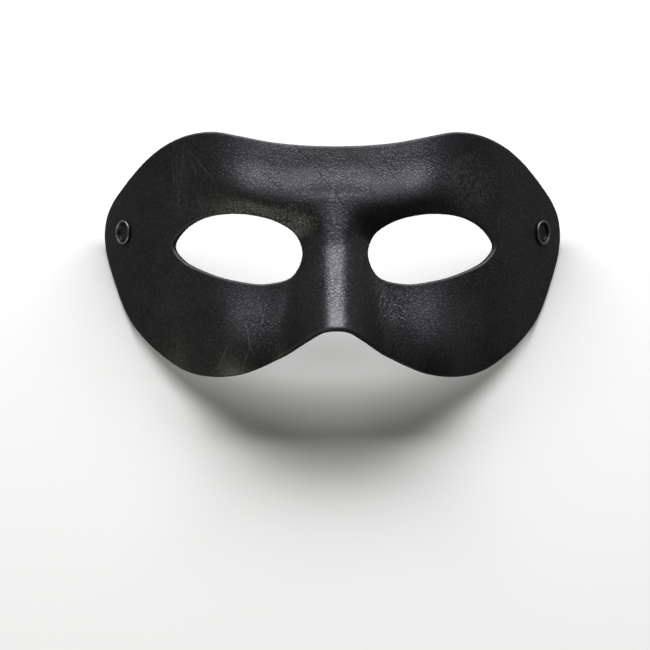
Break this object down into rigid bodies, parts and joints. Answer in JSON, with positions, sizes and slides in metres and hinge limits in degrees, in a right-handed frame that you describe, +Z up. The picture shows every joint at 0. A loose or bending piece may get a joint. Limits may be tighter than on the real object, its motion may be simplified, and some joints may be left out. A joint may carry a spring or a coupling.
{
  "type": "masquerade mask",
  "caption": "Black moulded leather half-mask for the eyes, with a brow ridge, a nose bridge with an arched foot, almond eye openings and a rolled eyelet at each temple.",
  "frame": {"origin": "middle of the bottom of the mask's box, on the surface that it rests on", "axes": "+X from temple to temple, towards the viewer's right; +Z up; the face looks along -Y and upwards, leant back about 30 degrees from flat on its back, as the mask rests by itself"},
  "size_m": [0.1752, 0.0864, 0.0651],
  "materials": {
    "leather": "black grained leather, satin, moulded, with rounded edges",
    "enamel": "black enamel, semi-gloss"
  },
  "bodies": {
    "root": {"mask_shell": "leather", "eyelet_left": "enamel", "eyelet_right": "enamel"}
  },
  "joints": []
}
